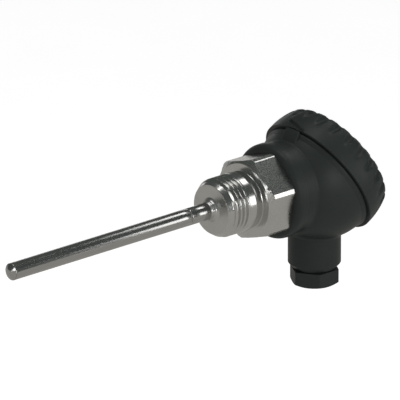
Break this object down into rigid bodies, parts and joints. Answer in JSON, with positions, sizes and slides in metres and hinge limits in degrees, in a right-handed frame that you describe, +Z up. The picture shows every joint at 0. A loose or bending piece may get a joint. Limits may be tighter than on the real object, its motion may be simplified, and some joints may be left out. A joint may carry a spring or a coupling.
{
  "type": "resistance temperature probe with connection head",
  "caption": "Screw-in temperature probe: steel sheath tube, threaded hexagon fitting and a round black connection head with a tilted screw lid and a cable gland.",
  "frame": {"origin": "on the probe axis, at the hexagon's front face, where the process thread's neck ends and the fitting seals", "axes": "+X along the probe axis from the tip to the head, +Z up, so that the cable gland points to -Z"},
  "size_m": [0.1622, 0.047, 0.0624],
  "materials": {
    "sheath_steel": "drawn and polished stainless steel",
    "fitting_steel": "turned and milled stainless steel",
    "head_plastic": "satin moulded black",
    "rubber": "matt",
    "ceramic": "fired ceramic, slightly glossy",
    "brass": "nickel-free turned brass",
    "contact_steel": "plated",
    "resin": "cast",
    "lead_insulation": "extruded"
  },
  "bodies": {
    "housing": {"sheath_tube": "sheath_steel", "tip_cap": "sheath_steel", "sheath_weld": "fitting_steel", "sensing_element": "ceramic", "wire_insulator": "ceramic", "sensor_wires": "contact_steel", "resin_plug": "resin", "process_fitting": "fitting_steel", "fitting_gasket": "rubber", "head_body": "head_plastic", "terminal_base": "ceramic", "terminal_posts": "brass", "fixing_screws": "contact_steel", "connection_leads": "lead_insulation", "wire_ferrules": "contact_steel", "gland_seal": "rubber"},
    "lid_ring": {"lid_seal": "rubber"},
    "lid": {"head_lid": "head_plastic"},
    "gland_ring": {"gland_slip_ring": "contact_steel"},
    "gland": {"gland_nut": "head_plastic"},
    "saddle_1": {"clamp_saddle_1": "contact_steel"},
    "saddle_2": {"clamp_saddle_2": "contact_steel"},
    "saddle_3": {"clamp_saddle_3": "contact_steel"},
    "saddle_4": {"clamp_saddle_4": "contact_steel"},
    "screw_1": {"terminal_screw_1": "brass"},
    "screw_2": {"terminal_screw_2": "brass"},
    "screw_3": {"terminal_screw_3": "brass"},
    "screw_4": {"terminal_screw_4": "brass"}
  },
  "joints": [
    {"name": "lid_lift", "type": "slide", "parent": "housing", "child": "lid_ring", "axis": [0.8712, 0, 0.4909], "range_m": [0, 0.03]},
    {"name": "lid_turn", "type": "hinge", "parent": "lid_ring", "child": "lid", "pos_m": [0.0344, 0, 0], "axis": [0.8712, 0, 0.4909], "range_deg": [0, 1080]},
    {"name": "gland_feed", "type": "slide", "parent": "housing", "child": "gland_ring", "axis": [0, 0, -1], "range_m": [0, 0.00375]},
    {"name": "gland_turn", "type": "hinge", "parent": "gland_ring", "child": "gland", "pos_m": [0.0331, 0, -0.0355], "axis": [0, 0, -1], "range_deg": [0, 900]},
    {"name": "screw_1_feed", "type": "slide", "parent": "housing", "child": "saddle_1", "axis": [1, 0, 0], "range_m": [0, 0.001]},
    {"name": "screw_1_turn", "type": "hinge", "parent": "saddle_1", "child": "screw_1", "pos_m": [0.0325, 0.0068, 0.0068], "axis": [1, 0, 0], "range_deg": [0, 720]},
    {"name": "screw_2_feed", "type": "slide", "parent": "housing", "child": "saddle_2", "axis": [1, 0, 0], "range_m": [0, 0.001]},
    {"name": "screw_2_turn", "type": "hinge", "parent": "saddle_2", "child": "screw_2", "pos_m": [0.0325, -0.0068, 0.0068], "axis": [1, 0, 0], "range_deg": [0, 720]},
    {"name": "screw_3_feed", "type": "slide", "parent": "housing", "child": "saddle_3", "axis": [1, 0, 0], "range_m": [0, 0.001]},
    {"name": "screw_3_turn", "type": "hinge", "parent": "saddle_3", "child": "screw_3", "pos_m": [0.0325, -0.0068, -0.0068], "axis": [1, 0, 0], "range_deg": [0, 720]},
    {"name": "screw_4_feed", "type": "slide", "parent": "housing", "child": "saddle_4", "axis": [1, 0, 0], "range_m": [0, 0.001]},
    {"name": "screw_4_turn", "type": "hinge", "parent": "saddle_4", "child": "screw_4", "pos_m": [0.0325, 0.0068, -0.0068], "axis": [1, 0, 0], "range_deg": [0, 720]}
  ],
  "couplings": [
    {"joint": "gland_turn", "follows": "gland_feed", "rad_per_m": 4188.8},
    {"joint": "screw_1_turn", "follows": "screw_1_feed", "rad_per_m": 12566},
    {"joint": "screw_2_turn", "follows": "screw_2_feed", "rad_per_m": 12566},
    {"joint": "screw_3_turn", "follows": "screw_3_feed", "rad_per_m": 12566},
    {"joint": "screw_4_turn", "follows": "screw_4_feed", "rad_per_m": 12566}
  ]
}
